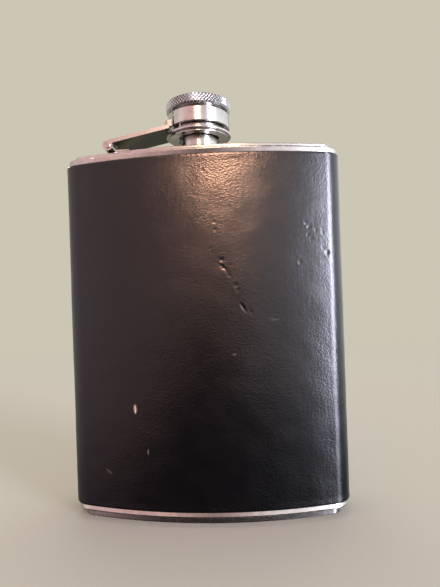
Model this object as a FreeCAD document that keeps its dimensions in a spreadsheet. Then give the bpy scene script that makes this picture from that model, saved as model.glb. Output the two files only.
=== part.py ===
"""Leather-wrapped pocket flask with a captive screw cap on a hinged arm.

Frame: +Z up, +X to the right and -Y to the front (the convex face). The origin is on the
neck's axis, in the plane of the base. All lengths are millimetres.
"""

import FreeCAD, Part
import math
import os

import Sketcher

from FreeCAD import Rotation, Vector

SIZES = {
    # outline of the body, measured over the leather
    "body_width": 95.0,
    "body_thickness": 22.0,
    "front_bow_radius": 150.0,
    "back_bow_radius": 240.0,
    "front_corner_radius": 7.5,
    "back_corner_radius": 5.5,
    # stack of heights
    "base_height": 2.6,
    "rim_height": 2.1,
    "leather_height": 116.4,
    "deck_height": 1.5,
    # sheet and leather
    "leather_wall": 1.0,
    "glue_gap": 0.1,
    "seam_gap": 0.3,
    "shell_wall": 0.6,
    "plate_wall": 0.7,
    "rim_inset": 1.15,
    "rim_flare": 12.0,
    "plateau_inset": 3.0,
    "rim_round": 0.5,
    "plateau_round": 0.35,
    # spout
    "neck_radius": 6.4,
    "neck_bore_radius": 5.1,
    "neck_root_radius": 5.9,
    "neck_shoulder": 129.1,
    "neck_top": 133.5,
    "neck_mouth_round": 0.25,
    "neck_flange_radius": 7.0,
    "neck_flange_height": 0.8,
    "neck_weld_gap": 0.02,
    "neck_thread_start": 129.65,
    "neck_thread_height": 2.0,
    # thread form, the same for spout and cap
    "thread_pitch": 1.25,
    "thread_crest_width": 0.2,
    "thread_foot_width": 0.8,
    "thread_sink": 0.05,
    # cap
    "cap_bottom": 128.65,
    "cap_thread_crest": 6.85,
    "cap_bore_radius": 7.4,
    "cap_thread_start": 129.25,
    "cap_thread_height": 1.5,
    "bead_radius": 11.15,
    "bead_bottom": 129.1,
    "bead_top": 130.15,
    "bead_round": 0.45,
    "skirt_radius": 10.2,
    "groove_radius": 8.8,
    "gasket_radius": 7.2,
    "gasket_height": 1.2,
    "roof_wall": 1.0,
    "insert_rim_radius": 7.8,
    "head_radius": 11.05,
    "head_bottom": 137.7,
    "head_top": 140.8,
    "head_socket_depth": 1.1,
    "head_bevel": 0.4,
    "knurl_depth": 0.32,
    "knurl_count": 60,
    "knurl_rows": 4,
    # collar and hinge arm
    "band_radius": 10.6,
    "band_wall": 0.7,
    "band_bottom": 131.85,
    "band_top": 136.45,
    "band_seam_gap": 0.7,
    "band_seam_angle": 224.0,
    "band_round": 0.15,
    "tab_radius": 11.8,
    "tab_top": 134.0,
    "arm_wall": 1.3,
    "arm_half_width": 6.5,
    "arm_end_across": 7.4,
    "arm_end_height": 132.85,
    "arm_relief_radius": 11.3,
    # hinge
    "hinge_across": 30.4,
    "hinge_height": 126.6,
    "knuckle_radius": 1.75,
    "hinge_slot_radius": 2.05,
    "bracket_half_width": 2.4,
    "knuckle_gap": 0.1,
    "curl_gap": 0.16,
    "arm_curl_drop": 0.3,
    "bracket_curl_drop": 0.85,
    "pin_radius": 0.7,
    "pin_clearance": 0.05,
    "pin_head_radius": 1.1,
    "pin_head_height": 0.35,
    "pin_head_round": 0.2,
    "foot_wall": 0.8,
    "foot_half_width": 4.5,
    "foot_start": 31.6,
    "foot_shoulder": 28.2,
    "foot_end": 23.6,
}


class Size:
    """A number, with the spreadsheet expression that gives it."""

    def __init__(self, value, text):
        self.value = float(value)
        self.text = text

    def __add__(self, other):
        other = as_size(other)
        return Size(self.value + other.value, f"({self.text} + {other.text})")

    def __sub__(self, other):
        other = as_size(other)
        return Size(self.value - other.value, f"({self.text} - {other.text})")

    def __mul__(self, other):
        other = as_size(other)
        return Size(self.value * other.value, f"({self.text} * {other.text})")

    def __truediv__(self, other):
        other = as_size(other)
        return Size(self.value / other.value, f"({self.text} / {other.text})")

    def __neg__(self):
        return Size(-self.value, f"(-1 * {self.text})")


def as_size(number):
    """A plain number as a Size; a Size unchanged."""
    if isinstance(number, Size):
        return number
    return Size(number, f"{number}")


class Sizes:
    """The driving dimensions by name, each bound to its cell."""

    def __getattr__(self, name):
        return Size(SIZES[name], f"Sizes.{name}")


ZERO = Size(0.0, "0")
mm = Sizes()

# Heights that follow from the stack: base plateau, lower rim, leather, upper rim, deck.
LEATHER_BOTTOM = mm.base_height + mm.rim_height
LEATHER_TOP = LEATHER_BOTTOM + mm.leather_height
DECK = LEATHER_TOP + mm.rim_height + mm.deck_height
BORE = mm.pin_radius + mm.pin_clearance


# ---------------------------------------------------------------- document helpers


def make_sheet(doc):
    """Writes the driving dimensions as plain numbers, one aliased cell each."""
    sheet = doc.addObject("Spreadsheet::Sheet", "Sizes")
    for row, (name, value) in enumerate(SIZES.items(), 1):
        sheet.set(f"A{row}", name.replace("_", " "))
        sheet.set(f"B{row}", str(value))
        sheet.setAlias(f"B{row}", name)
    doc.recompute()
    return sheet


def new_body(doc, label):
    """A PartDesign body whose label is the sub-part's name."""
    body = doc.addObject("PartDesign::Body", label)
    body.Label = label
    return body


def new_sketch(body, name, role="XY_Plane", height=ZERO):
    """A sketch on one of the body's own origin planes, moved along the plane's normal."""
    plane = next(p for p in body.Origin.OriginFeatures if p.Role == role)
    sketch = body.newObject("Sketcher::SketchObject", name)
    sketch.AttachmentSupport = (plane, [""])
    sketch.MapMode = "FlatFace"
    sketch.setExpression(".AttachmentOffset.Base.z", height.text)
    return sketch


def bind(item, **sizes):
    """Ties properties of a feature to spreadsheet expressions."""
    for name, size in sizes.items():
        item.setExpression(name, size.text)


# ---------------------------------------------------------------- sketch helpers


def dimension(sketch, kind, *where_and_size):
    """Adds a dimension constraint whose last argument is a Size, and binds it."""
    *where, size = where_and_size
    number = sketch.addConstraint(Sketcher.Constraint(kind, *where, size.value))
    sketch.setExpression(f"Constraints[{number}]", size.text)


def hold(sketch, element, end, across, up):
    """Holds one end (or the centre, end 3) of an element at (across, up)."""
    for kind, axis, size in (("DistanceX", -2, across), ("DistanceY", -1, up)):
        if size.value == 0:
            sketch.addConstraint(Sketcher.Constraint("PointOnObject", element, end, axis))
        elif size.value > 0:
            dimension(sketch, kind, -1, 1, element, end, size)
        else:
            dimension(sketch, kind, element, end, -1, 1, -size)


def polygon(sketch, points):
    """A closed outline of straight lines through points given as (across, up) Sizes."""
    first = sketch.GeometryCount
    count = len(points)
    for n, (across, up) in enumerate(points):
        far_across, far_up = points[(n + 1) % count]
        start = Vector(across.value, up.value, 0)
        end = Vector(far_across.value, far_up.value, 0)
        sketch.addGeometry(Part.LineSegment(start, end))
    for n in range(count):
        following = first + (n + 1) % count
        sketch.addConstraint(Sketcher.Constraint("Coincident", first + n, 2, following, 1))
    for n, (across, up) in enumerate(points):
        hold(sketch, first + n, 1, across, up)


def circle(sketch, radius, across=ZERO, up=ZERO):
    """A full circle."""
    centre = Vector(across.value, up.value, 0)
    number = sketch.addGeometry(Part.Circle(centre, Vector(0, 0, 1), radius.value))
    dimension(sketch, "Radius", number, radius)
    hold(sketch, number, 3, across, up)


def arc(sketch, centre_x, centre_y, radius, start_angle, end_angle):
    """Adds an anticlockwise arc and returns its number in the sketch."""
    whole = Part.Circle(Vector(centre_x, centre_y, 0), Vector(0, 0, 1), radius)
    return sketch.addGeometry(Part.ArcOfCircle(whole, start_angle, end_angle))


def bowed_outline(sketch, inset):
    """The body's kidney outline, inset: bowed front, hollow back and four round corners.

    Every neighbour is tangent, and both bows are centred on the sketch's upright axis.
    """
    half = mm.body_width / 2
    front_corner = mm.front_corner_radius - inset
    back_corner = mm.back_corner_radius - inset
    front_centre = mm.front_bow_radius - mm.body_thickness / 2
    back_centre = mm.back_bow_radius + mm.body_thickness / 2
    front_bow = mm.front_bow_radius - inset
    back_bow = mm.back_bow_radius + inset

    # Starting places of the corner centres, from the same tangency that the sketch holds.
    front_x = half.value - mm.front_corner_radius.value
    back_x = half.value - mm.back_corner_radius.value
    reach = mm.front_bow_radius.value - mm.front_corner_radius.value
    front_y = front_centre.value - math.sqrt(reach**2 - front_x**2)
    reach = mm.back_bow_radius.value + mm.back_corner_radius.value
    back_y = back_centre.value - math.sqrt(reach**2 - back_x**2)
    front_turn = math.atan2(front_y - front_centre.value, front_x)
    back_turn = math.atan2(back_y - back_centre.value, back_x)
    side_x = half.value - inset.value

    front = arc(sketch, 0, front_centre.value, front_bow.value, -math.pi - front_turn, front_turn)
    right_front = arc(sketch, front_x, front_y, front_corner.value, front_turn, 0)
    right = sketch.addGeometry(
        Part.LineSegment(Vector(side_x, front_y, 0), Vector(side_x, back_y, 0))
    )
    right_back = arc(sketch, back_x, back_y, back_corner.value, 0, math.pi + back_turn)
    back = arc(sketch, 0, back_centre.value, back_bow.value, -math.pi - back_turn, back_turn)
    left_back = arc(sketch, -back_x, back_y, back_corner.value, -back_turn, math.pi)
    left = sketch.addGeometry(
        Part.LineSegment(Vector(-side_x, back_y, 0), Vector(-side_x, front_y, 0))
    )
    left_front = arc(sketch, -front_x, front_y, front_corner.value, math.pi, math.pi - front_turn)

    joins = (
        (front, 2, right_front, 1),
        (right_front, 2, right, 1),
        (right, 2, right_back, 1),
        (right_back, 2, back, 2),
        (back, 1, left_back, 1),
        (left_back, 2, left, 1),
        (left, 2, left_front, 1),
        (left_front, 2, front, 1),
    )
    for join in joins:
        sketch.addConstraint(Sketcher.Constraint("Tangent", *join))
    for side in (left, right):
        sketch.addConstraint(Sketcher.Constraint("Vertical", side))
    hold(sketch, front, 3, ZERO, front_centre)
    hold(sketch, back, 3, ZERO, back_centre)
    dimension(sketch, "DistanceX", -1, 1, right, 1, half - inset)
    dimension(sketch, "DistanceX", left, 1, -1, 1, half - inset)
    radii = (
        (front, front_bow),
        (back, back_bow),
        (right_front, front_corner),
        (left_front, front_corner),
        (right_back, back_corner),
        (left_back, back_corner),
    )
    for element, radius in radii:
        dimension(sketch, "Radius", element, radius)


# ---------------------------------------------------------------- feature helpers


def tip_volume(body):
    """Volume of the body so far; none before its first feature."""
    body.Document.recompute()
    return body.Shape.Volume if body.Tip else 0.0


def add_or_cut(body, kind, name, sketch, length, reverse, symmetric):
    """One Pad or Pocket, checked to have changed the body's volume the right way."""
    before = tip_volume(body)
    feature = body.newObject(f"PartDesign::{kind}", name)
    feature.Profile = sketch
    feature.Reversed = reverse
    feature.SideType = "Symmetric" if symmetric else "One side"
    if length is None:
        feature.Type = "ThroughAll"
    else:
        bind(feature, Length=length)
    after = tip_volume(body)
    change = after - before if kind == "Pad" else before - after
    if change <= 0:
        raise RuntimeError(f"{body.Label}: {name} changed the volume by {change:.3f}")
    return feature


def pad(body, name, sketch, length, reverse=False, symmetric=False, flare=None):
    """Adds material along the sketch's normal; flare widens it by that many degrees."""
    feature = add_or_cut(body, "Pad", name, sketch, length, reverse, symmetric)
    if flare is not None:
        feature.setExpression("TaperAngle", f"{flare.text} * 1 deg")
        body.Document.recompute()
    return feature


def pocket(body, name, sketch, length=None, reverse=False, symmetric=False):
    """Removes material against the sketch's normal; through everything if no length."""
    return add_or_cut(body, "Pocket", name, sketch, length, reverse, symmetric)


def revolve(body, name, sketch):
    """Turns a profile drawn on the XZ plane a full turn about the Z axis."""
    feature = body.newObject("PartDesign::Revolution", name)
    feature.Profile = sketch
    feature.ReferenceAxis = (sketch, ["V_Axis"])
    feature.Angle = 360
    body.Document.recompute()
    return feature


def round_edges(body, name, radius, chosen):
    """Fillets the edges of the body's tip that chosen(edge) accepts."""
    body.Document.recompute()
    base = body.Tip
    names = [f"Edge{n}" for n, edge in enumerate(base.Shape.Edges, 1) if chosen(edge)]
    if not names:
        raise RuntimeError(f"{body.Label}: {name} found no edges")
    feature = body.newObject("PartDesign::Fillet", name)
    feature.Base = (base, names)
    bind(feature, Radius=radius)
    return feature


def flat_at(height):
    """Accepts edges that lie wholly at one height."""

    def chosen(edge):
        box = edge.BoundBox
        return max(abs(box.ZMin - height.value), abs(box.ZMax - height.value)) < 1e-4

    return chosen


def helix(body, kind, name, sketch, pitch, height, left=False):
    """Sweeps a profile drawn on the XZ plane along a helix about the Z axis."""
    before = tip_volume(body)
    feature = body.newObject(f"PartDesign::{kind}", name)
    feature.Profile = sketch
    feature.ReferenceAxis = (sketch, ["V_Axis"])
    feature.Mode = "pitch-height-angle"
    feature.Angle = 0
    feature.LeftHanded = left
    bind(feature, Pitch=pitch, Height=height)
    change = tip_volume(body) - before
    if (change > 0) != (kind == "AdditiveHelix"):
        raise RuntimeError(f"{body.Label}: {name} changed the volume by {change:.3f}")
    return feature


def thread(body, name, foot_radius, crest_radius, start, height):
    """A right-hand trapezoidal thread ridge from foot_radius to crest_radius."""
    sketch = new_sketch(body, name + "_form", "XZ_Plane")
    foot = mm.thread_foot_width / 2
    crest = mm.thread_crest_width / 2
    points = (
        (foot_radius, start - foot),
        (crest_radius, start - crest),
        (crest_radius, start + crest),
        (foot_radius, start + foot),
    )
    polygon(sketch, points)
    return helix(body, "AdditiveHelix", name, sketch, mm.thread_pitch, height)


# ---------------------------------------------------------------- body of the flask


def leather_wrap(doc):
    """The leather sheet round the body, its two ends butted down the middle of the back."""
    body = new_body(doc, "leather_wrap")
    sketch = new_sketch(body, "leather_outline", height=LEATHER_BOTTOM)
    bowed_outline(sketch, ZERO)
    bowed_outline(sketch, mm.leather_wall)
    pad(body, "leather_sheet", sketch, mm.leather_height)

    seam = new_sketch(body, "seam_outline", height=LEATHER_BOTTOM)
    half = mm.seam_gap / 2
    near = mm.body_thickness / 2 - mm.leather_wall * 2
    far = mm.body_thickness / 2 + mm.leather_wall
    polygon(seam, ((-half, near), (half, near), (half, far), (-half, far)))
    pocket(body, "back_seam", seam, reverse=True)
    return body


def body_shell(doc):
    """The drawn steel tube under the leather, open at both ends."""
    body = new_body(doc, "body_shell")
    outside = mm.leather_wall + mm.glue_gap
    sketch = new_sketch(body, "shell_outline", height=LEATHER_BOTTOM)
    bowed_outline(sketch, outside)
    bowed_outline(sketch, outside + mm.shell_wall)
    pad(body, "shell_tube", sketch, mm.leather_height)
    return body


def end_plate(doc, label, start, outwards, plateau_height):
    """A pressed end plate: a flared rim just inside the leather's edge, and a raised plateau.

    It is welded to the shell's end at height start. outwards is 1 for the top, -1 below.
    """
    body = new_body(doc, label)
    down = outwards < 0
    rim_face = start + mm.rim_height * outwards
    plateau_face = rim_face + plateau_height * outwards

    rim = new_sketch(body, label + "_rim_outline", height=start)
    bowed_outline(rim, mm.rim_inset)
    pad(body, label + "_rim", rim, mm.rim_height, reverse=down, flare=mm.rim_flare)
    round_edges(body, label + "_rim_round", mm.rim_round, flat_at(rim_face))

    plateau = new_sketch(body, label + "_plateau_outline", height=rim_face)
    bowed_outline(plateau, mm.plateau_inset)
    pad(body, label + "_plateau", plateau, plateau_height, reverse=down)
    round_edges(body, label + "_plateau_round", mm.plateau_round, flat_at(plateau_face))

    inside = new_sketch(body, label + "_inside_outline", height=start)
    bowed_outline(inside, mm.leather_wall + mm.glue_gap + mm.shell_wall)
    depth = mm.rim_height - mm.plate_wall
    pocket(body, label + "_inside", inside, depth, reverse=not down)

    step = new_sketch(body, label + "_step_outline", height=start + depth * outwards)
    bowed_outline(step, mm.plateau_inset + mm.plate_wall)
    pocket(body, label + "_step", step, plateau_height, reverse=not down)
    return body


def bottom_plate(doc):
    """The lower end plate, whose plateau is the flat base that the flask stands on."""
    return end_plate(doc, "bottom_plate", LEATHER_BOTTOM, -1, mm.base_height)


def top_plate(doc):
    """The upper end plate, with the hole that the spout is welded into."""
    body = end_plate(doc, "top_plate", LEATHER_TOP, 1, mm.deck_height)
    hole = new_sketch(body, "spout_hole_outline", height=LEATHER_TOP)
    circle(hole, mm.neck_radius + mm.neck_weld_gap)
    pocket(body, "spout_hole", hole, reverse=True)
    return body


def neck_spout(doc):
    """The turned spout: inner weld flange, plain neck and a short right-hand thread."""
    body = new_body(doc, "neck_spout")
    flange_top = DECK - mm.plate_wall
    flange_bottom = flange_top - mm.neck_flange_height
    profile = new_sketch(body, "spout_profile", "XZ_Plane")
    points = (
        (mm.neck_bore_radius, flange_bottom),
        (mm.neck_flange_radius, flange_bottom),
        (mm.neck_flange_radius, flange_top),
        (mm.neck_radius, flange_top),
        (mm.neck_radius, mm.neck_shoulder),
        (mm.neck_root_radius, mm.neck_shoulder),
        (mm.neck_root_radius, mm.neck_top),
        (mm.neck_bore_radius, mm.neck_top),
    )
    polygon(profile, points)
    revolve(body, "spout_turned", profile)
    round_edges(body, "spout_mouth_round", mm.neck_mouth_round, flat_at(mm.neck_top))
    foot = mm.neck_root_radius - mm.thread_sink
    start = mm.neck_thread_start
    thread(body, "spout_thread", foot, mm.neck_radius, start, mm.neck_thread_height)
    return body


# ---------------------------------------------------------------- cap


def cap_insert(doc):
    """The cap's threaded cup, with the lower bead that keeps the collar on."""
    body = new_body(doc, "cap_insert")
    roof = mm.neck_top + mm.gasket_height
    floor = roof + mm.roof_wall
    top = mm.head_bottom + mm.head_socket_depth
    profile = new_sketch(body, "insert_profile", "XZ_Plane")
    points = (
        (mm.cap_bore_radius, mm.cap_bottom),
        (mm.skirt_radius, mm.cap_bottom),
        (mm.skirt_radius, mm.bead_bottom),
        (mm.bead_radius, mm.bead_bottom),
        (mm.bead_radius, mm.bead_top),
        (mm.groove_radius, mm.bead_top),
        (mm.groove_radius, top),
        (mm.insert_rim_radius, top),
        (mm.insert_rim_radius, floor),
        (ZERO, floor),
        (ZERO, roof),
        (mm.cap_bore_radius, roof),
    )
    polygon(profile, points)
    revolve(body, "insert_turned", profile)

    def bead_edge(edge):
        return abs(edge.BoundBox.XMax - mm.bead_radius.value) < 1e-4 and (
            edge.BoundBox.ZLength < 1e-4
        )

    round_edges(body, "bead_round", mm.bead_round, bead_edge)
    foot = mm.cap_bore_radius + mm.thread_sink
    start = mm.cap_thread_start
    thread(body, "cap_thread", foot, mm.cap_thread_crest, start, mm.cap_thread_height)
    return body


def ring_points(count, low, high, height, phase):
    """Corners of a ring round the Z axis, at the low and high radius in turn."""
    points = []
    for n in range(count):
        radius = low if (n + phase) % 2 == 0 else high
        turn = 2 * math.pi * n / count
        points.append(Vector(radius * math.cos(turn), radius * math.sin(turn), height))
    return points


def triangle(*corners):
    """A flat face through three corners."""
    return Part.Face(Part.makePolygon([*corners, corners[0]]))


def knurled_blank(sheet):
    """A disc whose rim is covered with diamond points, as a closed shell of flat faces.

    Columns and rows of corners alternate between groove and point, so that every point
    is the top of a four-sided pyramid and the grooves run slantwise both ways.
    """
    columns = 2 * round(sheet.knurl_count)
    rows = round(sheet.knurl_rows)
    high = sheet.head_radius
    low = high - sheet.knurl_depth
    bevel = sheet.head_bevel
    rim = low - bevel
    bottom = sheet.head_bottom
    top = sheet.head_top
    step = (top - bottom - 2 * bevel) / rows

    rings = [ring_points(columns, rim, rim, bottom, 0)]
    for row in range(rows + 1):
        rings.append(ring_points(columns, low, high, bottom + bevel + row * step, row))
    rings.append(ring_points(columns, rim, rim, top, 0))

    faces = [Part.Face(Part.makePolygon([*ring, ring[0]])) for ring in (rings[0], rings[-1])]
    for row in range(len(rings) - 1):
        lower, upper = rings[row], rings[row + 1]
        for n in range(columns):
            right = (n + 1) % columns
            groove_rises = (n + row) % 2 == 1
            if groove_rises:
                faces.append(triangle(lower[n], lower[right], upper[right]))
                faces.append(triangle(lower[n], upper[right], upper[n]))
            else:
                faces.append(triangle(lower[n], lower[right], upper[n]))
                faces.append(triangle(lower[right], upper[right], upper[n]))
    shell = Part.Shell(faces)
    return Part.Solid(shell)


def cap_head(doc):
    """The knurled head, with a socket below that is pressed over the insert's upper end."""
    blank = doc.addObject("Part::Feature", "knurled_blank")
    blank.Shape = knurled_blank(doc.Sizes)
    socket = doc.addObject("Part::Cylinder", "head_socket")
    bind(socket, Radius=mm.groove_radius, Height=mm.head_socket_depth * 2)
    middle = mm.head_bottom - mm.head_socket_depth
    socket.setExpression(".Placement.Base.z", middle.text)
    head = doc.addObject("Part::Cut", "cap_head")
    head.Label = "cap_head"
    head.Base = blank
    head.Tool = socket
    doc.recompute()
    return head


def cap_gasket(doc):
    """The sealing disc between the spout's mouth and the cap's roof."""
    gasket = doc.addObject("Part::Cylinder", "cap_gasket")
    gasket.Label = "cap_gasket"
    bind(gasket, Radius=mm.gasket_radius, Height=mm.gasket_height)
    gasket.setExpression(".Placement.Base.z", mm.neck_top.text)
    return gasket


# ---------------------------------------------------------------- collar, arm and hinge


def collar_band(doc):
    """The split steel band that runs loose in the cap's groove."""
    body = new_body(doc, "collar_band")
    ring = new_sketch(body, "band_outline", height=mm.band_bottom)
    circle(ring, mm.band_radius)
    circle(ring, mm.band_radius - mm.band_wall)
    pad(body, "band_ring", ring, mm.band_top - mm.band_bottom)
    for name, level in (("band_low_round", mm.band_bottom), ("band_high_round", mm.band_top)):
        round_edges(body, name, mm.band_round, flat_at(level))

    seam = new_sketch(body, "band_seam_outline", height=mm.band_bottom)
    half = mm.band_seam_gap / 2
    near = mm.band_radius - mm.band_wall * 2
    far = mm.band_radius + mm.band_wall
    polygon(seam, ((near, -half), (far, -half), (far, half), (near, half)))
    seam.setExpression(".AttachmentOffset.Rotation.Angle", "Sizes.band_seam_angle * 1 deg")
    pocket(body, "band_seam", seam, reverse=True)
    return body


def hinge_arm(doc):
    """The arm: a strap from the rolled knuckles up to the tab that holds the collar."""
    body = new_body(doc, "hinge_arm")
    across = -mm.hinge_across
    width = mm.arm_half_width * 2

    knuckle = new_sketch(body, "arm_knuckle_outline", "XZ_Plane")
    circle(knuckle, mm.knuckle_radius, across, mm.hinge_height)
    pad(body, "arm_knuckle", knuckle, width, symmetric=True)

    side = new_sketch(body, "arm_strap_outline", "XZ_Plane")
    top = mm.hinge_height + mm.knuckle_radius
    end = mm.arm_end_height
    points = (
        (across, top - mm.arm_wall),
        (-mm.arm_end_across, end - mm.arm_wall),
        (-mm.arm_end_across, end),
        (across, top),
    )
    polygon(side, points)
    pad(body, "arm_strap", side, width, symmetric=True)

    relief = new_sketch(body, "arm_relief_outline", height=mm.band_bottom)
    circle(relief, mm.arm_relief_radius)
    pocket(body, "arm_relief", relief)
    seat = new_sketch(body, "arm_seat_outline", height=mm.band_bottom)
    circle(seat, mm.band_radius)
    pocket(body, "arm_seat", seat, reverse=True)

    tab = new_sketch(body, "arm_tab_outline", height=mm.band_bottom)
    tab_outline(tab)
    pad(body, "arm_tab", tab, mm.tab_top - mm.band_bottom)

    slot = new_sketch(body, "arm_slot_outline", "XZ_Plane")
    circle(slot, mm.hinge_slot_radius, across, mm.hinge_height)
    gap = (mm.bracket_half_width + mm.knuckle_gap) * 2
    pocket(body, "arm_slot", slot, gap, symmetric=True)
    bore = new_sketch(body, "arm_bore_outline", "XZ_Plane")
    circle(bore, BORE, across, mm.hinge_height)
    pocket(body, "arm_bore", bore, width, symmetric=True)
    curl_end(body, "arm_curl_end", mm.arm_curl_drop, width)
    return body


def curl_end(body, name, drop, width):
    """The thin gap where a rolled knuckle's sheet ends, level with the pin's lower half."""
    sketch = new_sketch(body, name + "_outline", "XZ_Plane")
    near = -mm.hinge_across
    far = near + mm.hinge_slot_radius
    upper = mm.hinge_height - drop
    lower = upper - mm.curl_gap
    polygon(sketch, ((near, lower), (far, lower), (far, upper), (near, upper)))
    pocket(body, name, sketch, width, symmetric=True)


def tab_outline(sketch):
    """A sector of a ring that hugs the band on the arm's side, as wide as the arm."""
    half = mm.arm_half_width
    inner, outer = mm.band_radius, mm.tab_radius
    inner_turn = math.asin(half.value / inner.value)
    outer_turn = math.asin(half.value / outer.value)
    near = arc(sketch, 0, 0, inner.value, math.pi - inner_turn, math.pi + inner_turn)
    far = arc(sketch, 0, 0, outer.value, math.pi - outer_turn, math.pi + outer_turn)
    ends = []
    for side in (1, -1):
        start = Vector(-inner.value * math.cos(inner_turn), side * half.value, 0)
        finish = Vector(-outer.value * math.cos(outer_turn), side * half.value, 0)
        ends.append(sketch.addGeometry(Part.LineSegment(start, finish)))
    for element, radius in ((near, inner), (far, outer)):
        sketch.addConstraint(Sketcher.Constraint("Coincident", element, 3, -1, 1))
        dimension(sketch, "Radius", element, radius)
        for end, line in zip((1, 2), ends):
            line_end = 1 if element == near else 2
            sketch.addConstraint(Sketcher.Constraint("Coincident", element, end, line, line_end))
    for line in ends:
        sketch.addConstraint(Sketcher.Constraint("Horizontal", line))
    dimension(sketch, "DistanceY", -1, 1, ends[0], 1, half)
    dimension(sketch, "DistanceY", ends[1], 1, -1, 1, half)


def hinge_bracket(doc):
    """The bracket welded to the deck: a T-shaped foot rolled up round the pin."""
    body = new_body(doc, "hinge_bracket")
    foot = new_sketch(body, "foot_outline", height=DECK)
    narrow, wide = mm.bracket_half_width, mm.foot_half_width
    start, shoulder, end = -mm.foot_start, -mm.foot_shoulder, -mm.foot_end
    points = (
        (start, -narrow),
        (shoulder, -narrow),
        (shoulder, -wide),
        (end, -wide),
        (end, wide),
        (shoulder, wide),
        (shoulder, narrow),
        (start, narrow),
    )
    polygon(foot, points)
    pad(body, "foot", foot, mm.foot_wall)

    roll = new_sketch(body, "roll_outline", "XZ_Plane")
    circle(roll, mm.knuckle_radius, -mm.hinge_across, mm.hinge_height)
    pad(body, "roll", roll, narrow * 2, symmetric=True)
    bore = new_sketch(body, "roll_bore_outline", "XZ_Plane")
    circle(bore, BORE, -mm.hinge_across, mm.hinge_height)
    pocket(body, "roll_bore", bore, narrow * 4, symmetric=True)
    curl_end(body, "roll_curl_end", mm.bracket_curl_drop, narrow * 4)
    return body


def hinge_pin(doc):
    """The pin with both ends peened over, turned about its own length."""
    body = new_body(doc, "hinge_pin")
    neck = mm.arm_half_width + mm.pin_clearance
    end = neck + mm.pin_head_height
    profile = new_sketch(body, "pin_profile", "XZ_Plane")
    points = (
        (ZERO, -end),
        (mm.pin_head_radius, -end),
        (mm.pin_head_radius, -neck),
        (mm.pin_radius, -neck),
        (mm.pin_radius, neck),
        (mm.pin_head_radius, neck),
        (mm.pin_head_radius, end),
        (ZERO, end),
    )
    polygon(profile, points)
    revolve(body, "pin_turned", profile)

    def head_rim(edge):
        return abs(abs(edge.BoundBox.Center.z) - end.value) < 1e-4 and edge.Closed

    round_edges(body, "pin_head_round", mm.pin_head_round, head_rim)
    body.Placement = FreeCAD.Placement(Vector(0, 0, 0), Rotation(Vector(1, 0, 0), 90))
    body.setExpression(".Placement.Base.x", (-mm.hinge_across).text)
    body.setExpression(".Placement.Base.z", mm.hinge_height.text)
    return body


# ---------------------------------------------------------------- whole model


def build():
    """Makes the document and returns it with its sub-parts."""
    doc = FreeCAD.newDocument("pocket_flask")
    make_sheet(doc)
    makers = (
        body_shell,
        leather_wrap,
        bottom_plate,
        top_plate,
        neck_spout,
        cap_insert,
        cap_head,
        cap_gasket,
        collar_band,
        hinge_arm,
        hinge_bracket,
        hinge_pin,
    )
    parts = [maker(doc) for maker in makers]
    doc.recompute()
    return doc, parts


def check(doc, parts):
    """Stops if any object failed, or any sub-part isn't one sound solid."""
    for item in doc.Objects:
        if "Invalid" in item.State or "Error" in item.State:
            raise RuntimeError(f"{item.Label} is {item.State}")
    for part in parts:
        shape = part.Shape
        if shape.isNull() or not shape.isValid() or len(shape.Solids) != 1:
            raise RuntimeError(f"{part.Label} isn't one valid solid")


def main():
    """Builds, checks and writes every sub-part as parts/LABEL.step."""
    doc, parts = build()
    check(doc, parts)
    os.makedirs("parts", exist_ok=True)
    for part in parts:
        part.Shape.exportStep(os.path.join("parts", part.Label + ".step"))


main()
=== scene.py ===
"""Looks of a leather-wrapped pocket flask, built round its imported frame.

Metres, +Z up, the bowed front faces -Y. Steel nodes keep their shape and get their finishes here.
The plain leather solid is replaced by a modelled sheet with rolled edges, dents and creases.
"""

import math

import bpy
import numpy as np
from mathutils import Euler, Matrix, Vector, noise


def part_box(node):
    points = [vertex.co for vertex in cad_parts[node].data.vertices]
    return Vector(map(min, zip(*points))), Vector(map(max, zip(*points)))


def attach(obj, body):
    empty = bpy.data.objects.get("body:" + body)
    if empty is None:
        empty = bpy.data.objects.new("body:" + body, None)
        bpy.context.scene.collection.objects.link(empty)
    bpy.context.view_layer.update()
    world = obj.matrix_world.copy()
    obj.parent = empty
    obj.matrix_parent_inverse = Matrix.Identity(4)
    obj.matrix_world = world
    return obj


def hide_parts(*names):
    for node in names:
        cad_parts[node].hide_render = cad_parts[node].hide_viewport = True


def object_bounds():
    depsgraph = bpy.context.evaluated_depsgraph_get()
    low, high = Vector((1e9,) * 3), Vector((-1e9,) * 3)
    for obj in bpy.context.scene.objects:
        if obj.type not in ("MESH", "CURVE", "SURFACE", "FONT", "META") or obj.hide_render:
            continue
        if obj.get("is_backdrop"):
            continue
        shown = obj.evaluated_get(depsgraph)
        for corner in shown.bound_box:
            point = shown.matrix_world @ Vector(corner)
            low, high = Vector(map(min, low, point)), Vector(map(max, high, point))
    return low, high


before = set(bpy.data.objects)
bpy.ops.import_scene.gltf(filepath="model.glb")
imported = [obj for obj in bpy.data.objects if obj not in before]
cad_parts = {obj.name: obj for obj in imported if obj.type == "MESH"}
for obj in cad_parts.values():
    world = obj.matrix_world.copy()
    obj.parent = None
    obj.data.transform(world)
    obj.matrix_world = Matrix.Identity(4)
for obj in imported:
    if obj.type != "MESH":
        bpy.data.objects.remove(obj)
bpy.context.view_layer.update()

MM = 0.001

# Outline of the leather, millimetres. Width, height and place come from the frame.
FRONT_BOW = 150.0
BACK_BOW = 240.0
FRONT_CORNER = 7.5
BACK_CORNER = 5.5
LEATHER_WALL = 0.95
SEAM_GAP = 0.3
EDGE_ROUND = 0.55
SEAM_ROUND = 0.35

# Sizes of the sheet's quads, millimetres.
FRONT_STEP = 0.36
CORNER_STEP = 0.33
BACK_STEP = 0.8
ROW_STEP = 0.38

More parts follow.
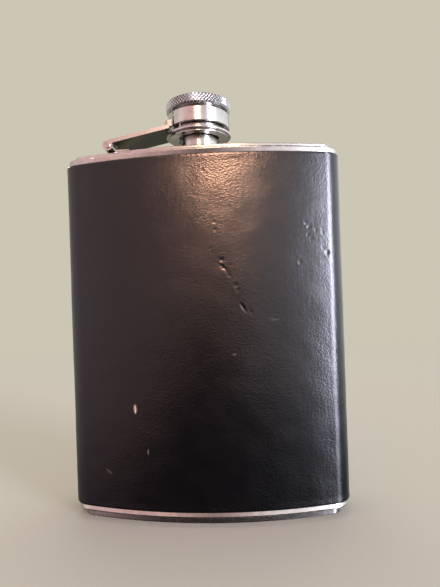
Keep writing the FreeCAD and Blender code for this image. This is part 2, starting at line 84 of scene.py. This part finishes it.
# Unevenness of the sheet, millimetres.
SINK = 0.05
LUMP_DEPTH = 0.12
RIPPLE_DEPTH = 0.045
CALM_EDGE = 2.5
THINNEST_WALL = 0.15


# ---------------------------------------------------------------- shader helpers


class Graph:
    """The node tree of one material or world, filled by short calls."""

    def __init__(self, owner):
        owner.use_nodes = True
        self.tree = owner.node_tree
        self.tree.nodes.clear()

    def feed(self, socket, value):
        """Links an output to the socket, or sets its plain value."""
        if isinstance(value, bpy.types.NodeSocket):
            self.tree.links.new(value, socket)
        else:
            socket.default_value = value

    def node(self, kind, inputs=None, **settings):
        """Adds a shader node; inputs are given by name or number."""
        made = self.tree.nodes.new("ShaderNode" + kind)
        for name, value in settings.items():
            setattr(made, name, value)
        for name, value in (inputs or {}).items():
            self.feed(made.inputs[name], value)
        return made

    def math(self, operation, *values, clamp=False):
        made = self.node("Math", operation=operation, use_clamp=clamp)
        for number, value in enumerate(values):
            self.feed(made.inputs[number], value)
        return made.outputs[0]

    def ramp(self, value, low, high, to_low=0.0, to_high=1.0):
        """A smooth step from to_low at low to to_high at high."""
        made = self.node("MapRange", interpolation_type="SMOOTHSTEP")
        for number, item in enumerate((value, low, high, to_low, to_high)):
            self.feed(made.inputs[number], item)
        return made.outputs[0]

    def mix(self, share, first, second):
        """A colour between first and second."""
        made = self.node("Mix", data_type="RGBA")
        self.feed(made.inputs[0], share)
        self.feed(made.inputs[6], first)
        self.feed(made.inputs[7], second)
        return made.outputs[2]

    def place(self, scale=(1.0, 1.0, 1.0)):
        """Millimetres in the row frame, scaled per axis."""
        where = self.node("TexCoord").outputs["Object"]
        stretch = [value / MM for value in scale]
        return self.node("Mapping", {"Vector": where, "Scale": stretch}).outputs[0]

    def noise(self, where, scale, detail=2.0, rough=0.5, distortion=0.0):
        inputs = {
            "Vector": where,
            "Scale": scale,
            "Detail": detail,
            "Roughness": rough,
            "Distortion": distortion,
        }
        return self.node("TexNoise", inputs).outputs[0]

    def cells(self, where, scale, feature="F1"):
        inputs = {"Vector": where, "Scale": scale}
        return self.node("TexVoronoi", inputs, feature=feature).outputs["Distance"]

    def gradient(self, value, stops, brightest):
        """A colour that runs through (value, colour) stops; brightest is the largest channel."""
        low, high = stops[0][0], stops[-1][0]
        share = self.node("MapRange", {0: value, 1: low, 2: high}).outputs[0]
        made = self.node("ValToRGB", {0: share})
        made.color_ramp.interpolation = "EASE"
        elements = made.color_ramp.elements
        elements[1].position = 1.0
        for _ in stops[2:]:
            elements.new(0.5)
        for element, (at, colour) in zip(elements, stops):
            element.position = (at - low) / (high - low)
            element.color = (*(channel / brightest for channel in colour), 1.0)
        return self.scaled(made.outputs[0], brightest)

    def scaled(self, colour, factor):
        """A colour or vector times a number."""
        made = self.node("VectorMath", {0: colour}, operation="SCALE")
        self.feed(made.inputs["Scale"], factor)
        return made.outputs[0]

    def bump(self, height, depth, strength, normal=None):
        """Raises the surface by height times depth millimetres."""
        inputs = {"Strength": strength, "Distance": depth * MM, "Height": height}
        if normal is not None:
            inputs["Normal"] = normal
        return self.node("Bump", inputs).outputs[0]

    def attribute(self, name):
        return self.node("Attribute", attribute_name=name).outputs["Fac"]


def new_material(name):
    material = bpy.data.materials.new(name)
    return material, Graph(material)


def finish_material(graph, **inputs):
    """Adds the surface shader; underscores in the input names stand for spaces."""
    named = {name.replace("_", " "): value for name, value in inputs.items()}
    surface = graph.node("BsdfPrincipled", named)
    graph.node("OutputMaterial", {"Surface": surface.outputs[0]})


# ---------------------------------------------------------------- leather finish


LEATHER_DARK = (0.0004, 0.0008, 0.0013, 1.0)
LEATHER_LIGHT = (0.0008, 0.0012, 0.0019, 1.0)
LEATHER_SCUFFED = (0.42, 0.38, 0.34, 1.0)
LEATHER_IOR = 1.5


def leather_material():
    """Black, semi-gloss leather: fine pebbles, faint upright stretch lines, rubbed places."""
    material, graph = new_material("black_leather_finish")
    where = graph.place()
    sway = graph.noise(where, 0.12, 3.0)
    patches = graph.noise(where, 0.045, 2.0)
    wear = graph.attribute("wear")

    wrinkles = graph.noise(where, 0.6, 3.0, 0.55, 0.6)
    stretch = graph.noise(graph.place((1.0, 1.0, 0.08)), 1.0, 3.0, 0.6)
    pebbles = graph.cells(graph.place((1.0, 1.0, 1.25)), 1.9, "SMOOTH_F1")
    pores = graph.noise(where, 4.5, 2.0, 0.6)
    grain = graph.math("MULTIPLY", pebbles, graph.ramp(patches, 0.3, 0.7, 0.6, 1.0))
    normal = graph.bump(wrinkles, 0.05, 0.6)
    normal = graph.bump(stretch, 0.05, 0.45, normal)
    normal = graph.bump(grain, 0.054, 0.9, normal)
    normal = graph.bump(pores, 0.012, 0.6, normal)

    tone = graph.mix(patches, LEATHER_DARK, LEATHER_LIGHT)
    tone = graph.mix(graph.math("MULTIPLY", wear, 0.85), tone, LEATHER_SCUFFED)

    rough = graph.ramp(sway, 0.25, 0.75, 0.24, 0.275)
    rough = graph.math("ADD", rough, graph.math("MULTIPLY", wear, 0.2), clamp=True)
    finish_material(
        graph,
        Base_Color=tone,
        Roughness=rough,
        IOR=LEATHER_IOR,
        Normal=normal,
    )
    return material


# ---------------------------------------------------------------- steel finishes

STEEL = (0.64, 0.605, 0.56)
BRIGHT_STEEL = (0.74, 0.73, 0.72)
INNER_STEEL = (0.5, 0.49, 0.47)
# Colour of the painted shade on faces that look down, a dark brown-green.
UNDERSIDE_SHADE = (0.09, 0.085, 0.07)
# Near-black of the painted shade and dirt in corners and creases.
DIRT_AND_SHADE = (0.03, 0.024, 0.018, 1.0)
LATHE_LINES = (0.15, 0.15, 6.0)


def steel_material(name, colour, rough, grain, brush=(1.0, 1.0, 1.0), spin=0.0, painted_underside_shade=None):
    """Stainless steel with brushed lines, smears and scratches, and painted shade with dirt in its
    corners.

    spin is how strongly lathe lines round the Z axis stretch the highlights upwards.
    The underside colour, if given, is painted shade: faces that look down are darkened towards it,
    for the shade beneath them.
    """
    material, graph = new_material(name)
    where = graph.place()
    lines = graph.noise(graph.place(brush), 2.2, 4.0, 0.65)
    smears = graph.noise(where, 0.22, 3.0, 0.55, 0.8)
    specks = graph.cells(where, 0.9)
    scratches = graph.ramp(graph.noise(graph.place((0.25, 1.0, 5.0)), 1.1, 2.0), 0.66, 0.7)

    worn = tuple(channel * 0.75 for channel in colour) + (1.0,)
    tone = graph.mix(graph.ramp(smears, 0.35, 0.75), (*colour, 1.0), worn)
    # Painted shade: faces that look down take the dark underside colour.
    if painted_underside_shade:
        facing = graph.node("SeparateXYZ", {0: graph.node("TexCoord").outputs["Normal"]}).outputs[2]
        tone = graph.mix(graph.ramp(facing, -0.4, -0.8), tone, (*painted_underside_shade, 1.0))
    # Painted shade with dirt: where ambient occlusion finds a corner or crease, the colour is
    # darkened towards near-black.
    opening = graph.node("AmbientOcclusion", {"Distance": 1.0 * MM}, samples=6).outputs["AO"]
    dirt_and_shade = graph.math("MULTIPLY", graph.ramp(opening, 0.7, 0.2), 0.8)
    tone = graph.mix(dirt_and_shade, tone, DIRT_AND_SHADE)

    spread = graph.ramp(smears, 0.3, 0.75, rough * 0.9, rough * 1.15)
    spread = graph.math("ADD", spread, graph.math("MULTIPLY", scratches, 0.08), clamp=True)
    normal = graph.bump(lines, 0.004 * grain, 1.0)
    normal = graph.bump(graph.ramp(specks, 0.0, 0.09), 0.006, 0.6, normal)
    round_z = graph.node("Tangent", direction_type="RADIAL", axis="Z").outputs[0]
    finish_material(
        graph,
        Base_Color=tone,
        Metallic=1.0,
        Roughness=spread,
        Normal=normal,
        Anisotropic=spin,
        Anisotropic_Rotation=0.25,
        Tangent=round_z,
    )
    return material


def gasket_material():
    """Pale silicone: slightly cloudy, with a matt skin."""
    material, graph = new_material("seal_rubber_finish")
    where = graph.place()
    cloud = graph.noise(where, 0.5, 3.0)
    skin = graph.noise(where, 5.0, 2.0)
    tone = graph.mix(cloud, (0.62, 0.60, 0.55, 1.0), (0.74, 0.73, 0.68, 1.0))
    finish_material(
        graph,
        Base_Color=tone,
        Roughness=graph.ramp(cloud, 0.3, 0.7, 0.42, 0.55),
        Subsurface_Weight=0.15,
        Subsurface_Scale=0.002,
        Normal=graph.bump(skin, 0.02, 0.5),
    )
    return material


def paint_nodes():
    """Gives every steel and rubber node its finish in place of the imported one."""
    plate = steel_material("plate_steel_finish", STEEL, 0.25, 1.0, (0.3, 1.0, 3.0))
    turned = steel_material("turned_steel_finish", STEEL, 0.24, 1.2, LATHE_LINES, spin=0.55)
    arm = steel_material("arm_steel_finish", STEEL, 0.24, 1.2, (0.2, 1.0, 2.0), painted_underside_shade=UNDERSIDE_SHADE)
    knurled = steel_material("knurled_steel_finish", BRIGHT_STEEL, 0.26, 0.8)
    inner = steel_material("inner_steel_finish", INNER_STEEL, 0.34, 2.0, (0.3, 0.3, 2.0))
    finishes = {
        "body_shell": inner,
        "top_plate": plate,
        "bottom_plate": plate,
        "neck_spout": turned,
        "hinge_bracket": arm,
        "hinge_pin": turned,
        "hinge_arm": arm,
        "collar_band": turned,
        "cap_insert": turned,
        "cap_head": knurled,
        "cap_gasket": gasket_material(),
    }
    for node, material in finishes.items():
        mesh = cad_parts[node].data
        mesh.materials.clear()
        mesh.materials.append(material)


# ---------------------------------------------------------------- leather sheet


def swept(low, high, step, radius):
    """Evenly spaced angles from low to high, the end left out."""
    count = max(2, round(abs(high - low) * radius / step))
    return low + (high - low) * np.arange(count) / count


def half_outline():
    """Points and outward normals from the back's middle round +X to the front's middle, in mm."""
    low, high = (np.array(corner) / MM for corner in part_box("leather_wrap"))
    half = high[0]
    front_centre = low[1] + FRONT_BOW
    back_centre = -low[1] + BACK_BOW
    front_x = half - FRONT_CORNER
    back_x = half - BACK_CORNER
    front_turn = math.asin(front_x / (FRONT_BOW - FRONT_CORNER))
    back_turn = math.asin(back_x / (BACK_BOW + BACK_CORNER))
    front_y = front_centre - (FRONT_BOW - FRONT_CORNER) * math.cos(front_turn)
    back_y = back_centre - (BACK_BOW + BACK_CORNER) * math.cos(back_turn)

    runs = []
    turn = swept(SEAM_GAP / 2 / BACK_BOW, back_turn, BACK_STEP, BACK_BOW)
    normal = np.stack([-np.sin(turn), np.cos(turn)], 1)
    runs.append((np.array([0.0, back_centre]) - BACK_BOW * normal, normal))
    turn = swept(math.pi / 2 + back_turn, 0.0, CORNER_STEP, BACK_CORNER)
    normal = np.stack([np.cos(turn), np.sin(turn)], 1)
    runs.append((np.array([back_x, back_y]) + BACK_CORNER * normal, normal))
    rise = swept(back_y, front_y, CORNER_STEP, 1.0)
    normal = np.stack([np.ones_like(rise), np.zeros_like(rise)], 1)
    runs.append((np.stack([np.full_like(rise, half), rise], 1), normal))
    turn = swept(0.0, front_turn - math.pi / 2, CORNER_STEP, FRONT_CORNER)
    normal = np.stack([np.cos(turn), np.sin(turn)], 1)
    runs.append((np.array([front_x, front_y]) + FRONT_CORNER * normal, normal))
    turn = swept(front_turn, 0.0, FRONT_STEP, FRONT_BOW)
    normal = np.stack([np.sin(turn), -np.cos(turn)], 1)
    runs.append((np.array([0.0, front_centre]) + FRONT_BOW * normal, normal))
    return np.vstack([run[0] for run in runs]), np.vstack([run[1] for run in runs])


def full_outline():
    """The whole outline, from one lip of the back seam round the front to the other."""
    points, normals = half_outline()
    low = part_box("leather_wrap")[0][1] / MM
    middle = np.array([[0.0, low]])
    mirror = np.array([-1.0, 1.0])
    points = np.vstack([points, middle, points[::-1] * mirror])
    normals = np.vstack([normals, [[0.0, -1.0]], normals[::-1] * mirror])
    return points, normals


def row_heights(low, high):
    """Heights of the rows: close together over the rolled edges, even between them."""
    turn = np.linspace(0.0, math.pi / 2, 6)
    edge = EDGE_ROUND * (1.0 - np.cos(turn))
    inner = np.arange(low + EDGE_ROUND, high - EDGE_ROUND, ROW_STEP)[1:-1]
    return np.concatenate([low + edge, inner, (high - edge)[::-1]])


def rolled(distance, radius):
    """How far the surface drops at a distance from an edge that is rounded with the radius."""
    inside = np.clip(1.0 - distance / radius, 0.0, 1.0)
    return radius * (1.0 - np.sqrt(1.0 - inside**2))


# Marks on the front, in mm: across from the middle, and up from the leather's lower edge.
# Small dents: across, up, radius, depth.
DENTS = (
    (0.4, 111.3, 0.35, 0.05),
    (2.0, 110.6, 0.45, 0.11),
    (2.9, 109.6, 0.35, 0.09),
    (-3.1, 94.8, 0.45, 0.08),
    (5.0, 93.8, 0.40, 0.10),
    (5.1, 91.2, 0.42, 0.10),
    (-9.0, 86.4, 0.40, 0.06),
    (3.4, 85.3, 0.45, 0.09),
    (3.8, 84.0, 0.40, 0.06),
    (6.9, 81.5, 0.60, 0.16),
    (11.3, 73.1, 0.75, 0.12),
    (11.9, 71.6, 0.60, 0.10),
    (9.4, 64.0, 0.35, 0.07),
    (32.3, 80.0, 0.50, 0.14),
    (29.9, 88.5, 0.45, 0.07),
    (29.9, 96.3, 0.35, 0.06),
    (41.7, 83.0, 0.60, 0.20),
    (34.7, 92.7, 0.40, 0.08),
    (35.7, 91.6, 0.50, 0.09),
    (35.3, 88.8, 0.45, 0.07),
    (38.0, 90.4, 0.40, 0.08),
    (40.1, 91.1, 0.35, 0.08),
    (40.3, 89.7, 0.40, 0.08),
    (36.2, 87.8, 0.50, 0.06),
    (2.1, 1.7, 0.55, 0.10),
    (5.3, 1.6, 0.45, 0.10),
)
# Creases and cuts: first end, last end (across, up), width, depth, wear.
SCRATCHES = (
    ((-3.7, 103.1), (3.4, 101.4), 0.20, 0.022, 0.05),
    ((8.4, 90.7), (12.9, 90.6), 0.22, 0.025, 0.0),
    ((6.2, 80.3), (8.4, 77.9), 0.50, 0.18, 0.0),
    ((8.0, 78.6), (9.9, 75.4), 0.55, 0.06, 0.0),
    ((12.4, 67.6), (14.4, 64.2), 0.38, 0.28, 0.0),
    ((14.6, 66.6), (16.6, 62.8), 0.50, 0.07, 0.0),
    ((21.6, 62.0), (24.6, 61.8), 0.28, 0.05, 0.10),
    ((34.0, 92.6), (37.8, 91.8), 0.30, 0.04, 0.05),
    ((39.2, 85.6), (41.6, 82.8), 0.35, 0.04, 0.03),
    ((-23.4, 35.1), (-23.2, 32.3), 0.42, 0.20, 1.0),
    ((-19.4, 20.6), (-19.4, 18.8), 0.28, 0.08, 0.2),
    ((9.3, 51.2), (10.9, 51.0), 0.24, 0.08, 0.12),
    ((-34.2, 13.2), (-32.4, 11.8), 0.45, 0.07, 0.08),
)
# The lip round a mark, in shares of its depth and radius, and how narrow a crease's tips are.
LIP_HEIGHT = 0.12
LIP_RADIUS = 1.8
TIP_SHARE = 0.35


def from_line(across, up, start, end):
    """Distance of every point from the line between two places, and its share along it."""
    start, end = np.array(start), np.array(end)
    reach = end - start
    share = ((across - start[0]) * reach[0] + (up - start[1]) * reach[1]) / (reach @ reach)
    share = np.clip(share, 0.0, 1.0)
    away = np.hypot(across - start[0] - share * reach[0], up - start[1] - share * reach[1])
    return away, share


def hollow(away):
    """Depth of a dent of depth 1 and radius 1 at a distance, with the low lip pushed up round it."""
    lip = LIP_HEIGHT * np.exp(-((away - LIP_RADIUS) ** 2) * 2.0)
    return np.exp(-(away**2)) - lip


def marks(across, up, front):
    """Depth and wear of the dents and creases at every point of the front."""
    depth = np.zeros_like(across)
    wear = np.zeros_like(across)
    for x, z, radius, deep in DENTS:
        depth += deep * hollow(np.hypot(across - x, up - z) / radius)
    for start, end, width, deep, worn in SCRATCHES:
        away, share = from_line(across, up, start, end)
        taper = TIP_SHARE + (1.0 - TIP_SHARE) * np.sin(math.pi * share)
        away = away / (width * taper)
        depth += deep * taper * hollow(away)
        wear = np.maximum(wear, worn * np.exp(-(away**2) * 1.5))
    return depth * front, wear * front


def swell(points):
    """Slow unevenness of the glued sheet, in mm, one value a point."""
    apart = Vector((9.0, 0.0, 0.0))
    lumps = [noise.noise(Vector(point) * 0.035) for point in points]
    ripple = [noise.noise(Vector(point) * 0.16 + apart) for point in points]
    return LUMP_DEPTH * np.array(lumps) + RIPPLE_DEPTH * np.array(ripple)


def grid_faces(across, up, start, flip):
    """Quads of a grid whose points are numbered row by row from start."""
    rows, columns = np.meshgrid(np.arange(up - 1), np.arange(across - 1), indexing="ij")
    corner = (start + rows * across + columns).ravel()
    quads = np.stack([corner, corner + 1, corner + 1 + across, corner + across], 1)
    return quads[:, ::-1] if flip else quads


def rim_faces(across, up, size):
    """Quads that close the sheet all round, between its outer and its inner skin."""
    bottom = np.arange(across)
    right = np.arange(up) * across + across - 1
    top = (up - 1) * across + np.arange(across)[::-1]
    left = (np.arange(up) * across)[::-1]
    ring = np.concatenate([bottom[:-1], right[:-1], top[:-1], left[:-1]])
    after = np.roll(ring, -1)
    return np.stack([ring, ring + size, after + size, after], 1)


def sheet_skins():
    """Points of the sheet's outer and inner skins in mm, its wear, and its columns and rows."""
    low, high = (np.array(corner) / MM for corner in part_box("leather_wrap"))
    outline, normals = full_outline()
    heights = row_heights(low[2], high[2])
    columns, rows = len(outline), len(heights)
    length = np.hypot(*np.diff(outline, axis=0).T)
    travel = np.concatenate([[0.0], np.cumsum(length)])

    up = np.repeat(heights, columns)
    spot = np.tile(outline, (rows, 1))
    away = np.tile(normals, (rows, 1))
    along = np.tile(travel, rows)

    from_ends = np.minimum(along, travel[-1] - along)
    from_edges = np.minimum(up - low[2], high[2] - up)
    drop = np.maximum(rolled(from_ends, SEAM_ROUND), rolled(from_edges, EDGE_ROUND))
    calm = np.clip(np.minimum(from_ends, from_edges) / CALM_EDGE, 0.0, 1.0)
    is_front = np.clip(-away[:, 1] * 1.2, 0.0, 1.0)
    dented, wear = marks(spot[:, 0], up - low[2], is_front)
    relief = (swell(np.column_stack([spot, up])) - SINK) * calm
    drop = np.clip(drop + dented - relief, 0.0, LEATHER_WALL - THINNEST_WALL)

    outer = np.column_stack([spot - away * drop[:, None], up])
    inner = np.column_stack([spot - away * LEATHER_WALL, up])
    return outer, inner, wear, columns, rows


def leather_sheet():
    """The leather: one closed sheet round the body, open at a butt seam down the back."""
    outer, inner, wear, columns, rows = sheet_skins()
    size = rows * columns
    faces = np.vstack(
        [
            grid_faces(columns, rows, 0, True),
            grid_faces(columns, rows, size, False),
            rim_faces(columns, rows, size),
        ]
    )
    mesh = bpy.data.meshes.new("leather_sheet")
    mesh.from_pydata((np.vstack([outer, inner]) * MM).tolist(), [], faces.tolist())
    worn = mesh.attributes.new("wear", "FLOAT", "POINT")
    worn.data.foreach_set("value", np.concatenate([wear, np.zeros(size)]).astype(np.float32))
    mesh.shade_smooth()
    mesh.materials.append(leather_material())
    sheet = bpy.data.objects.new("leather_sheet", mesh)
    bpy.context.scene.collection.objects.link(sheet)
    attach(sheet, "flask")
    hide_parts("leather_wrap")
    return sheet


# ---------------------------------------------------------------- studio

PALE = (0.60, 0.565, 0.46)
FLOOR_RADIUS = 4.0


def floor_material():
    """Pale matt paper that fades into the backdrop far from the object."""
    material, graph = new_material("floor_finish")
    where = graph.node("TexCoord").outputs["Object"]
    away = graph.node("VectorMath", {0: where}, operation="LENGTH").outputs["Value"]
    fade = graph.ramp(away, 0.12, 0.7)
    fibre = graph.noise(graph.place(), 0.6, 3.0)
    tone = graph.mix(fibre, (0.43, 0.42, 0.36, 1.0), (0.45, 0.44, 0.38, 1.0))
    paper = graph.node("BsdfDiffuse", {"Color": tone}).outputs[0]
    glow = graph.node("Emission", {"Color": (*PALE, 1.0)}).outputs[0]
    seen = graph.node("LightPath").outputs["Is Camera Ray"]
    share = graph.math("MULTIPLY", fade, seen)
    surface = graph.node("MixShader", {0: share, 1: paper, 2: glow}).outputs[0]
    graph.node("OutputMaterial", {"Surface": surface})
    return material


def build_floor():
    """A wide round floor under the flask."""
    turns = swept(0.0, 2 * math.pi, 1.0, 10.0)
    ring = [(FLOOR_RADIUS * math.cos(turn), FLOOR_RADIUS * math.sin(turn), 0.0) for turn in turns]
    mesh = bpy.data.meshes.new("floor")
    mesh.from_pydata(ring, [], [list(range(len(ring)))])
    mesh.materials.append(floor_material())
    floor = bpy.data.objects.new("floor", mesh)
    bpy.context.scene.collection.objects.link(floor)
    floor.visible_glossy = False
    floor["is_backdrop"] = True
    return floor


# Colours round the studio at eye level: azimuth in degrees (0 in front, 90 at the right), colour.
AROUND = (
    (-180.0, (0.62, 0.60, 0.50)),
    (-125.0, (0.62, 0.60, 0.50)),
    (-62.0, (1.05, 0.86, 0.92)),
    (-38.0, (0.95, 0.61, 0.62)),
    (4.0, (0.95, 0.63, 0.62)),
    (18.0, (1.35, 1.25, 1.30)),
    (100.0, (1.90, 1.95, 2.15)),
    (140.0, (1.50, 1.55, 1.60)),
    (165.0, (0.62, 0.60, 0.50)),
    (180.0, (0.62, 0.60, 0.50)),
)
AROUND_BRIGHTEST = 2.2
UPPER_SHADE = (0.45, 0.45, 0.45, 1.0)
WINDOW = 55.0
WINDOW_LIGHT = (37.0, 38.0, 47.0)
SITTER = -3.0
SITTER_SPREAD = 1.36
DARK_CLOTHES = (0.015, 0.012, 0.012, 1.0)


def room(graph, azimuth, rise):
    """The walls: pale behind, warm at the left, cool at the right.

    They are darker lower down, and high up at the right.
    """
    walls = graph.gradient(azimuth, AROUND, AROUND_BRIGHTEST)
    right = graph.ramp(azimuth, 5.0, 22.0)
    lower_left = graph.ramp(rise, -4.0, -32.0, 1.0, 0.1)
    lower_right = graph.ramp(rise, 2.0, -27.0, 1.0, 0.02)
    fade = graph.mix(right, lower_left, lower_right)
    behind = graph.ramp(graph.math("ABSOLUTE", azimuth), 110.0, 140.0)
    lower_behind = graph.ramp(rise, 6.0, -22.0, 1.0, 0.35)
    fade = graph.mix(behind, fade, lower_behind)
    upper = graph.ramp(rise, 15.0, 25.0)
    fade = graph.mix(graph.math("MULTIPLY", upper, right), fade, UPPER_SHADE)
    return graph.node("VectorMath", {0: walls, 1: fade}, operation="MULTIPLY").outputs[0]


def sitter(graph, azimuth, rise, around):
    """Someone in dark clothes in front: a wedge that widens downwards from eye level."""
    off_middle = graph.math("ABSOLUTE", graph.math("SUBTRACT", azimuth, SITTER))
    edge = graph.math("MULTIPLY_ADD", rise, SITTER_SPREAD, graph.math("ADD", off_middle, -3.0))
    return graph.mix(graph.ramp(edge, 4.0, -4.0), around, DARK_CLOTHES)


def window(graph, azimuth, rise, around):
    """Adds a tall cool window at the right, brightest a little above eye level."""
    off_window = graph.math("ABSOLUTE", graph.math("SUBTRACT", azimuth, WINDOW))
    sides = graph.ramp(off_window, 13.0, 4.0)
    pane = graph.math("MULTIPLY", sides, graph.ramp(rise, 22.0, 13.0))
    pane = graph.math("MULTIPLY", pane, graph.ramp(rise, -28.0, 8.0, 0.04, 1.0))
    pane = graph.scaled(WINDOW_LIGHT, pane)
    return graph.node("VectorMath", {0: around, 1: pane}, operation="ADD").outputs[0]


def build_world():
    """Soft surroundings that light the flask; the camera itself sees one plain pale colour."""
    world = bpy.data.worlds.new("studio")
    bpy.context.scene.world = world
    graph = Graph(world)
    direction = graph.node("TexCoord").outputs["Generated"]
    x, y, z = graph.node("SeparateXYZ", {0: direction}).outputs
    ahead = graph.math("MULTIPLY", y, -1.0)
    azimuth = graph.math("MULTIPLY", graph.math("ARCTAN2", x, ahead), 180.0 / math.pi)
    rise = graph.math("MULTIPLY", graph.math("ARCSINE", z), 180.0 / math.pi)

    around = room(graph, azimuth, rise)
    around = sitter(graph, azimuth, rise, around)
    around = window(graph, azimuth, rise, around)
    light = graph.node("Background", {"Color": around, "Strength": 1.0}).outputs[0]

    seen = graph.node("LightPath").outputs["Is Camera Ray"]
    plain = graph.node("Background", {"Color": (*PALE, 1.0), "Strength": 1.0}).outputs[0]
    surface = graph.node("MixShader", {0: seen, 1: light, 2: plain}).outputs[0]
    graph.node("OutputWorld", {"Surface": surface})


def softbox(name, azimuth, elevation, distance, width, height, power, colour, only=None):
    """An area light that faces the flask's middle; azimuth 0 is straight in front, 90 at its right.

    only lists the objects that it lights, if it doesn't light them all.
    """
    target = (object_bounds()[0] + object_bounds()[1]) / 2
    turn, rise = math.radians(azimuth), math.radians(elevation)
    flat = math.cos(rise)
    way = Vector((math.sin(turn) * flat, -math.cos(turn) * flat, math.sin(rise)))
    data = bpy.data.lights.new(name, "AREA")
    data.shape = "RECTANGLE"
    data.size = width
    data.size_y = height
    data.energy = power
    data.color = colour
    light = bpy.data.objects.new(name, data)
    bpy.context.scene.collection.objects.link(light)
    light.location = target + way * distance
    light.rotation_mode = "QUATERNION"
    light.rotation_quaternion = (-way).to_track_quat("-Z", "Y")
    light.visible_camera = False
    if only:
        lit = bpy.data.collections.new(name + "_lights")
        for item in only:
            lit.objects.link(item)
        light.light_linking.receiver_collection = lit


def build_lights(leather, floor):
    """A warm lamp in front, much weaker on the steel, one behind, and a large soft one above."""
    warm = (1.0, 0.55, 0.36)
    steel = list(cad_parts.values())
    softbox("key_lamp", 3.5, 27.5, 1.1, 0.30, 0.25, 18.5, warm, only=[leather])
    softbox("steel_lamp", 3.0, 27.0, 1.1, 0.27, 0.20, 2.2, (1.0, 0.72, 0.50), only=[*steel, floor])
    softbox("back_soft", 200.0, 24.0, 1.1, 0.35, 0.25, 14.0, (1.0, 0.92, 0.84), only=[leather])
    softbox("top_soft", 180.0, 75.0, 1.2, 1.0, 1.0, 7.5, (1.0, 0.95, 0.86), only=[leather, floor])


# The camera as fitted to the leather's edges in the photograph: metres, degrees, millimetres.
CAMERA_PLACE = (0.015016, -0.153562, 0.075148)
CAMERA_TURN = (90.0999, 1.9788, 3.5835)
LENS = 27.29
SENSOR_WIDTH = 36.0


def build_camera():
    """A phone's wide lens close to the front, a little right of the middle, at mid height."""
    data = bpy.data.cameras.new("camera")
    data.lens = LENS
    data.sensor_width = SENSOR_WIDTH
    data.clip_start = 0.005
    camera = bpy.data.objects.new("camera", data)
    bpy.context.scene.collection.objects.link(camera)
    camera.location = CAMERA_PLACE
    camera.rotation_euler = Euler((math.radians(angle) for angle in CAMERA_TURN), "XYZ")
    bpy.context.scene.camera = camera


paint_nodes()
build_world()
build_lights(leather_sheet(), build_floor())
build_camera()
bpy.context.scene.view_settings.view_transform = "Standard"
